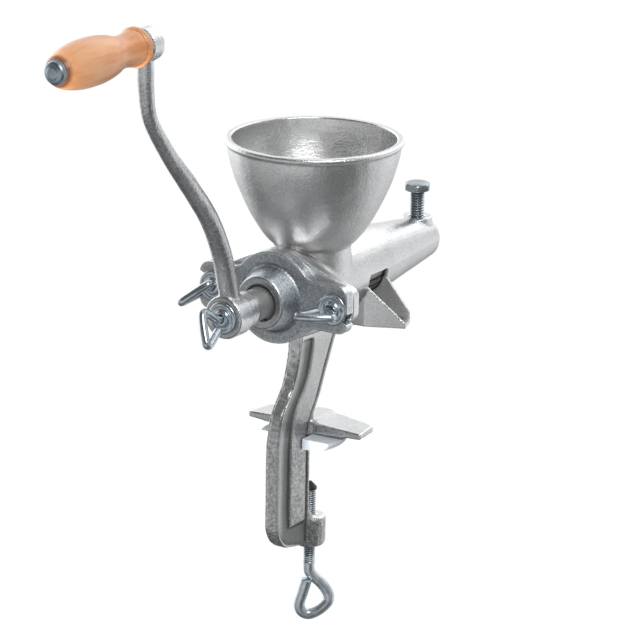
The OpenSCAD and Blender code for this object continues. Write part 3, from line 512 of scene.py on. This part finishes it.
# Front cover: a cast plate with two slotted ears and a bored boss for the shaft, hooked under the cover screws.
# Its face is darker and rougher than the body, and its edge is rubbed bright.
def cover_marks(points, normals):
    """The sand grain of the cover: coarse on its face, smooth on the turned boss; every face turned forward is
    darker, the boss's face most, and the plate's side is left lighter. Places are in mm from the middle of the shaft."""
    x, y, z = ((points - shaft_axis) / MM).T
    boss = fall(np.hypot(x, z), 21.0, 23.5) * fall(y, -50.0, -48.5)
    face = rise(-normals[:, 1], 0.6, 0.85)
    return 0 * x, 0.55 * face * (1 - boss), face * (0.42 + 0.10 * boss)


cover_skin = cast_skin("cast_cover", (0.86, 0.91, 0.95), (0.46, 0.50, 0.54), 0.34, 1.2 * MM, 0.26 * MM)
cast_cover = recast(working_copy("cast_cover", "front_cover"), 0.55 * MM, 4, 0.05 * MM, cover_marks, 150000)
dress(cast_cover, cover_skin, "cast_cover", "body", "front_cover")


# Crank: a forged bar in a long S, thick at the hub and slim at the handle boss, tinned and rubbed grey.
# Its hub is fixed on the square end of the shaft.
def crank_marks(points, normals):
    """The bar is coarse and a little darker between its ends, the hub's end face is darker, and the rest of the hub
    and the handle boss are left lighter. Places are in mm."""
    x, y, z = (points / MM).T
    bar = rise(z, 124, 138) * fall(z, 272, 284)
    hub_end = rise(-normals[:, 1], 0.7, 0.9) * fall(y, -102.0, -101.0) * fall(z, 121, 124)
    return 0 * x, 0.75 * bar + 0.4 * hub_end, 0.10 * bar + 0.45 * hub_end


def crank_soft(points):
    """The bar's edges are rounder than those of its ends."""
    z = points[:, 2] / MM
    return rise(z, 124, 134) * fall(z, 276, 284)


crank_skin = cast_skin("tinned_crank", (0.91, 0.92, 0.93), (0.66, 0.68, 0.70), 0.32, 1.2 * MM, 0.22 * MM)
crank_bar = recast(working_copy("crank_bar", "crank_arm"), 0.6 * MM, 4, 0.06 * MM, crank_marks, 150000, crank_soft)
dress(crank_bar, crank_skin, "cast_crank", "crank", "crank_arm")


# Eye screws and their cup washers: M6 wire bent to an eye, in bright zinc plate.
# One holds the crank on the shaft, and two hold the cover on the ears of the body.
def zinc_plate(name, colour, roughness):
    """Bright zinc plate: bluish metal with faint clouds in its colour and its gloss, and a slight ripple; hollows
    of a thread get painted shade."""
    cloud_scale, cloud_dark, hollow_dark, glossier, duller = 260.0, 0.74, 0.22, 0.06, 0.08
    material, tree, shader = new_finish(name, {"Metallic": 1.0})
    cloud = noise(tree, add_node(tree, "TexCoord").outputs["Object"], cloud_scale, 3.0)
    tone = ramp(tree, cloud, 0.35, [cloud_dark * c for c in colour], 0.68, colour)
    # Painted shade: the thread's hollows are darkened by their noted depth.
    shade = ranged(tree, noted(tree, "hollow"), 0.0, 1.0, 1.0, hollow_dark)
    tree.links.new(mixed(tree, 1.0, tone, shade, "MULTIPLY"), shader.inputs["Base Color"])
    gloss = ranged(tree, cloud, 0.0, 1.0, roughness - glossier, roughness + duller)
    tree.links.new(gloss, shader.inputs["Roughness"])
    feed_bump(tree, shader, 0.2, 0.06 * MM, cloud)
    return material


def smooth_line(points, steps):
    """A smooth line through all the points (Catmull-Rom), with the given steps between neighbours."""
    p = np.asarray(points, float)
    p = np.vstack([2 * p[0] - p[1], p, 2 * p[-1] - p[-2]])
    t = np.linspace(0, 1, steps, endpoint=False)[None, :, None]
    a, b, c, d = (p[k:len(p) - 3 + k, None, :] for k in range(4))
    line = 0.5 * (2 * b + (c - a) * t + (2 * a - 5 * b + 4 * c - d) * t ** 2 + (3 * b - a - 3 * c + d) * t ** 3)
    return np.vstack([line.reshape(-1, p.shape[1]), p[-2:-1]])


def wire_line(line, wire_r, half_width, depth, droop):
    """A loop's line in its own plane, as sideways and forward distances: two points in the shank, and then the given
    shares of the half width and the depth, all turned by the droop."""
    lean = np.array([[math.cos(droop), math.sin(droop)], [-math.sin(droop), math.cos(droop)]])
    root = np.array([(0, 2.0), (0, 0.8)]) * wire_r
    return smooth_line(np.vstack([root, (line * (half_width, depth)) @ lean]), 5)


def bent_wire(name, path, wire_r, flat_normal, sides=24):
    """Round wire along a path near one plane: a circle is carried along it, square to the path, and each end is
    cut flat with its rim broken."""
    rim = np.array([0.0, 0.86, 0.96, 1.0])
    inset = np.array([0.0, 0.0, 0.05, 0.16]) * wire_r
    ahead = np.gradient(path, axis=0)
    ahead /= np.linalg.norm(ahead, axis=1, keepdims=True)
    across = np.cross(ahead, flat_normal)
    across /= np.linalg.norm(across, axis=1, keepdims=True)
    upright = np.cross(across, ahead)
    radius = np.concatenate([wire_r * rim, np.full(len(path) - 2, wire_r), wire_r * rim[::-1]])
    spine = np.vstack([path[:1] + ahead[:1] * inset[:, None], path[1:-1],
                       path[-1:] - ahead[-1:] * inset[::-1, None]])
    across, upright = (np.vstack([np.repeat(v[:1], len(rim), 0), v[1:-1], np.repeat(v[-1:], len(rim), 0)])
                       for v in (across, upright))
    angle = np.linspace(0, 2 * np.pi, sides, endpoint=False)[None, :, None]
    ring = across[:, None, :] * np.cos(angle) + upright[:, None, :] * np.sin(angle)
    return surface(name, spine[:, None, :] + radius[:, None, None] * ring, True)


bright_zinc = zinc_plate("bright_zinc", (0.70, 0.77, 0.83), 0.17)
eye_wire_r, eye_loop_r, eye_loop_d = (v * MM for v in (2.65, 9.5, 22.5))
shank_r, shank_break, shank_start, cup_h, face_gap = (v * MM for v in (2.9, 0.6, 0.4, 3.2, 0.2))
eye_line = np.array([
    (0.05, -0.09), (0.3, -0.2), (0.64, -0.33), (0.88, -0.43), (0.98, -0.5), (0.96, -0.58), (0.67, -0.68),
    (0.26, -0.79), (-0.2, -0.89), (-0.62, -0.97), (-0.85, -1), (-1, -0.96), (-1, -0.87), (-0.88, -0.7),
    (-0.72, -0.5), (-0.57, -0.25)])
cup_curl = np.array([(3.1, 2.7), (4.3, 2.55), (5.2, 1.9), (6.0, 1.15), (7.0, 1.05), (8.2, 1.5), (9.2, 1.45),
                     (10.0, 1.0), (10.35, 0.55)]) * MM
cup_base = np.array([(10.4, 0.2), (10.1, 0.02), (3.1, 0.02)]) * MM
cup_profile = np.vstack([smooth_line(cup_curl, 5), cup_base])
# Each screw: its node, its washer's node, the bodies of both, and the turn and the droop of its eye in degrees.
for screw_node, washer_node, screw_body, washer_body, turn, droop in (
        ("cover_screw_left", "cover_washer_left", "left_screw", "left_washer", -130, 0),
        ("cover_screw_right", "cover_washer_right", "right_screw", "right_washer", -90, 0),
        ("crank_screw", "crank_washer", "hub_screw", "hub_washer", 155, -8)):
    washer_low, washer_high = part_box(washer_node)
    seat = np.array([(washer_low.x + washer_high.x) / 2, washer_high.y, shaft_axis[2]])
    turn, droop = math.radians(turn), math.radians(droop)
    sideways = np.array([-math.sin(turn), 0.0, -math.cos(turn)])
    normal = np.array([math.cos(turn), 0.0, -math.sin(turn)])
    root = seat + np.array([0, face_gap - cup_h, 0])
    flat = wire_line(eye_line, eye_wire_r, eye_loop_r, eye_loop_d, droop)
    eye_path = root + flat[:, :1] * sideways + flat[:, 1:] * np.array([0, 1.0, 0])
    eye = bent_wire(washer_node.replace("washer", "eye"), eye_path, eye_wire_r, normal)
    dress(eye, bright_zinc, "zinc_steel", screw_body, screw_node)
    shank_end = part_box(screw_node)[1].y - root[1]
    shank = turned(washer_node.replace("washer", "shank"), [
        (0, shank_start), (shank_r - shank_break, shank_start), (shank_r, shank_start + shank_break),
        (shank_r, shank_end - shank_break), (shank_r - shank_break, shank_end), (0, shank_end)], root, "y", steps=48)
    dress(shank, bright_zinc, "zinc_steel", screw_body, screw_node)
    cup = turned(washer_node.replace("washer", "cup"), cup_profile * (1, -1), seat, "y", closed=True)
    dress(cup, bright_zinc, "zinc_steel", washer_body, washer_node)


# Handle: a beech grip, turned with a bead at its crank end, that spins on a bolt through the crank's boss.
# A hex nut locks the bolt against the boss; its domed head sits on a ring against the end of the grip.
def lacquered_beech(name, end_y):
    """Beech under lacquer: long streaks along Y between two browns, pale patches and short dark rays; the last
    few millimetres before end_y get painted shade, a near black brown, where the grip meets the bolt's head."""
    streak_size, ray_size, patch_scale = (420, 26, 420), (900, 150, 900), 42.0
    end_shade_start, end_shade_full = 3.4 * MM, 1.2 * MM
    brown, light_brown, pale = (0.72, 0.26, 0.085), (0.92, 0.42, 0.18), (0.94, 0.52, 0.27, 1)
    ray_brown, end_shade_brown = (0.47, 0.20, 0.08, 1), (0.11, 0.035, 0.014, 1)
    material, tree, shader = new_finish(name, {"Roughness": 0.34, "Coat Weight": 0.4, "Coat Roughness": 0.14})
    place = add_node(tree, "TexCoord").outputs["Object"]
    along, rays = (add_node(tree, "Mapping", {"Vector": place, "Scale": size}).outputs[0]
                   for size in (streak_size, ray_size))
    streak = noise(tree, along, 1.0, 4.0)
    fleck = add_node(tree, "TexVoronoi", {"Vector": rays, "Scale": 1.0}).outputs["Distance"]
    ground = ramp(tree, streak, 0.28, brown, 0.72, light_brown)
    patched = mixed(tree, ranged(tree, noise(tree, place, patch_scale), 0.38, 0.68, 0.0, 0.6), ground, pale)
    flecked = mixed(tree, ranged(tree, fleck, 0.2, 0.05, 0.0, 0.4), patched, ray_brown)
    depth = add_node(tree, "SeparateXYZ", {"Vector": place}).outputs["Y"]
    # Painted shade at the grip's end by the bolt's domed head.
    end_shade = ranged(tree, depth, end_y + end_shade_start, end_y + end_shade_full, 0.0, 0.85)
    tree.links.new(mixed(tree, end_shade, flecked, end_shade_brown), shader.inputs["Base Color"])
    feed_bump(tree, shader, 0.2, 0.1 * MM, streak)
    return material


grip_low, grip_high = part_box("handle_grip")
grip_back = np.array([0.0, grip_high.y, (grip_low.z + grip_high.z) / 2])
grip_length = (grip_high.y - grip_low.y) / MM
grip_bore = 4.2
bead_line = np.array([(11.0, 0.15), (11.9, 0.7), (12.5, 1.7), (12.6, 2.6), (12.4, 3.6), (11.7, 4.6), (11.1, 5.1)])
side_line = np.array([
    (11.15, 5.5), (11.3, 6.4), (11.1, 8), (10.6, 10.5), (10.05, 15), (10.05, 19), (10.6, 23), (11.7, 27), (12.8, 31),
    (14.0, 38), (14.65, 46), (14.55, 56), (13.8, 64), (12.2, 72), (10.0, grip_length - 3), (8.9, grip_length - 1.2),
    (8.3, grip_length - 0.3), (7.9, grip_length)])
grip_profile = np.vstack([[(grip_bore, 0), (10.5, 0)], smooth_line(bead_line, 4), smooth_line(side_line, 4),
                          [(grip_bore, grip_length)]]) * MM
beech_grip = turned("beech_grip", grip_profile * (1, -1), grip_back, "y", closed=True, steps=128)
dress(beech_grip, lacquered_beech("lacquered_beech", grip_low.y), "beech", "grip", "handle_grip")

bolt_low, bolt_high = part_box("handle_bolt")
bolt_face = np.array([0.0, bolt_low.y, grip_back[2]])
bolt_length = (bolt_high.y - bolt_low.y) / MM
dome_line = np.array([(0, 0), (1.8, 0.07), (3.4, 0.36), (4.1, 0.75), (4.9, 1.0), (6.0, 1.45), (6.8, 2.2), (7.12, 2.9)])
bolt_profile = np.vstack([smooth_line(dome_line, 5), [
    (7.2, 3.4), (4.0, 3.4), (4.0, bolt_length - 0.5), (3.5, bolt_length), (0, bolt_length)]]) * MM
steel = zinc_plate("plain_steel", (0.50, 0.59, 0.66), 0.28)
dress(turned("handle_bolt_dome", bolt_profile, bolt_face, "y"), steel, "zinc_steel", "crank", "handle_bolt")

ring_low, ring_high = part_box("handle_washer")
ring_t = (ring_high.y - ring_low.y) / MM
ring_profile = np.array([(4.2, 0.0), (7.2, 0.0), (7.58, 0.15), (7.7, 0.4), (7.7, ring_t), (4.2, ring_t)]) * MM
handle_ring = turned("handle_ring", ring_profile, np.array([0, ring_low.y, grip_back[2]]), "y", closed=True)
dress(handle_ring, steel, "zinc_steel", "crank", "handle_washer")


def hex_head(name, flats, levels, centre, axis, bore=0.0):
    """A hexagon with turned corners: at each level, given as height and turning radius, the outline is the lesser
    of the hexagon's own radius in that direction and the turning radius."""
    angle = np.linspace(0, 2 * np.pi, 192, endpoint=False)[None, :]
    hexagon = flats / 2 / np.cos((angle + np.pi / 6) % (np.pi / 3) - np.pi / 6)
    middle = np.full_like(angle, bore)
    radius = np.vstack([middle, np.minimum(hexagon, levels[:, 1:]), middle])
    along = levels[:, :1] + 0 * angle
    along = np.vstack([along[:1], along, along[-1:]])
    return surface(name, placed(radius * np.sin(angle), radius * np.cos(angle), along, centre, axis), True, bore > 0)


nut_low, nut_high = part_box("handle_nut")
nut_t = (nut_high.y - nut_low.y) / MM
nut_flats, nut_bore = 19 * MM, 4.2 * MM
nut_levels = np.array([(0, 9.2), (0.8, 11.2), (nut_t - 0.5, 11.2), (nut_t, 10.2)]) * MM
lock_nut = hex_head("handle_lock_nut", nut_flats, nut_levels, np.array([0, nut_low.y, grip_back[2]]), "y", nut_bore)
dress(lock_nut, zinc_plate("dark_steel", (0.36, 0.38, 0.41), 0.32), "dark_steel", "crank", "handle_nut")


# Regulating screw: a zinc hex screw in the pad on top of the outlet tube, threaded over its whole length.
# Its head is duller than its thread and a little domed.
def threaded_rod(name, radius, depth, pitch, low, high, centre, sides=48):
    """Screw thread round the Z axis: the radius falls from the crest by the depth times a rounded wave of the height
    in pitches less the angle in turns; the thread fades out at both ends, which are closed. The depth below the
    crest is noted as hollow shade, from 0 to 1, for the material to paint shade in the thread's hollows."""
    levels_a_pitch, roundness = 12, 0.8
    height = np.arange(low, high, pitch / levels_a_pitch)[:, None]
    angle = np.linspace(0, 2 * np.pi, sides, endpoint=False)[None, :]
    phase = (height / pitch - angle / (2 * np.pi)) % 1.0
    wave = 0.5 - 0.5 * np.cos(2 * np.pi * phase)
    fade = np.clip(np.minimum(height - low, high - height) / pitch, 0, 1)
    thread = radius - depth * (wave ** roundness) * fade
    closed = np.vstack([0 * angle, thread, 0 * angle])
    along = np.vstack([height[:1], height, height[-1:]]) + 0 * angle
    rod = surface(name, placed(closed * np.cos(angle), closed * np.sin(angle), along, centre, "z"), True)
    sunk = radius - np.hypot(*(rows(rod.data.vertices, "co") - centre)[:, :2].T)
    # Painted shade for the thread's hollows, read by the zinc finishes.
    note(rod.data, "hollow", np.clip(sunk / depth, 0, 1))
    return rod


screw_low, screw_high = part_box("regulating_screw")
screw_axis = np.array([(screw_low.x + screw_high.x) / 2, (screw_low.y + screw_high.y) / 2, 0.0])
head_h, head_flats, head_overlap = (v * MM for v in (5.8, 16.0, 1.0))
thread_r, thread_depth, thread_pitch = (v * MM for v in (5.0, 0.8, 1.75))
head_base = screw_high.z - head_h
reg_thread = threaded_rod("regulating_thread", thread_r, thread_depth, thread_pitch, screw_low.z,
                          head_base + head_overlap, screw_axis)
dress(reg_thread, bright_zinc, "zinc_steel", "regulator", "regulating_screw")
head_levels = np.array([(0, 7.9), (0.5, 8.6), (1.0, 8.9), (3.0, 8.9), (3.9, 8.6), (4.6, 8.0), (5.1, 7.0), (5.5, 5.6),
                        (5.7, 3.6), (5.8, 1.4)]) * MM
reg_head = hex_head("regulating_head", head_flats, head_levels, screw_axis + np.array([0, 0, head_base]), "z")
dress(reg_head, zinc_plate("dull_zinc", (0.50, 0.54, 0.57), 0.30), "zinc_steel", "regulator", "regulating_screw")

# Jaw pad: a pale moulded bowl under the jaw, slotted round the column, that spares the table top.
# It is held by its peg in the jaw.
pad_plastic = cloudy("pale_moulding", (0.74, 0.80, 0.85), (0.80, 0.85, 0.89), 60.0, 0.36, {
    "Subsurface Weight": 0.25, "Subsurface Radius": (0.006, 0.007, 0.008)})
moulded_pad = recast(working_copy("moulded_pad", "jaw_pad"), 0.8 * MM, 3)
dress(moulded_pad, pad_plastic, "pad_plastic", "body", "jaw_pad")

# Clamp screw: an M8 zinc screw in the foot, bent below to a loop for the fingers, its end laid across the bend.
# A black moulded cap swivels on its top end.
_, clamp_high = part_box("clamp_screw")
clamp_r, clamp_depth, clamp_pitch, clamp_wire_r = (v * MM for v in (3.9, 0.55, 1.45, 3.6))
clamp_loop_r, clamp_loop_d, clamp_root, run_out, pin_h = (v * MM for v in (9.3, 34.0, -85.0, 1.5, 2.4))
clamp_line = np.array([
    (0.03, -0.12), (0.32, -0.235), (0.77, -0.35), (1.12, -0.465), (1.36, -0.58), (1.42, -0.67), (1.36, -0.755),
    (0.95, -0.875), (0.49, -0.96), (0, -1), (-0.42, -0.95), (-0.62, -0.835), (-0.6, -0.72), (-0.44, -0.58),
    (-0.28, -0.42), (-0.14, -0.27)])
worn_zinc = zinc_plate("worn_zinc", (0.74, 0.81, 0.86), 0.28)
clamp_thread = threaded_rod("clamp_thread", clamp_r, clamp_depth, clamp_pitch, clamp_root + run_out,
                            clamp_high.z - pin_h, np.zeros(3))
dress(clamp_thread, worn_zinc, "zinc_steel", "clamp", "clamp_screw")
loop_turn = math.radians(-57)
loop_side = np.array([-math.sin(loop_turn), math.cos(loop_turn), 0.0])
loop_normal = np.array([math.cos(loop_turn), math.sin(loop_turn), 0.0])
flat = wire_line(clamp_line, clamp_wire_r, clamp_loop_r, clamp_loop_d, 0)
# The loop leaves its plane: shares of its length, and how far forward it stands there.
forth_share, forth_by = (0, 0.12, 0.35, 0.65, 1.0), np.array([0, -0.3, -1.4, 0.4, 2.8]) * MM
forth = np.interp(np.linspace(0, 1, len(flat)), forth_share, forth_by)
loop_path = (np.array([0, 0, clamp_root]) + flat[:, :1] * loop_side + flat[:, 1:] * np.array([0, 0, 1.0])
             + forth[:, None] * loop_normal)
clamp_loop = bent_wire("clamp_loop", loop_path, clamp_wire_r, loop_normal, 32)
dress(clamp_loop, worn_zinc, "zinc_steel", "clamp", "clamp_screw")

tip_black = cloudy("black_moulding", (0.012, 0.012, 0.013), (0.045, 0.045, 0.048), 300.0, 0.5)
tip_low, tip_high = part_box("clamp_tip")
tip_h = (tip_high.z - tip_low.z) / MM
tip_profile = np.array([(0, 2.8), (2.3, 2.8), (2.3, 0), (4.1, 0), (4.4, 0.3), (4.4, 1.6), (1.6, tip_h - 0.8),
                        (0.9, tip_h - 0.1), (0, tip_h)]) * MM
dress(turned("clamp_cap", tip_profile, np.array([0, 0, tip_low.z]), "z"), tip_black, "tip_plastic", "tip", "clamp_tip")
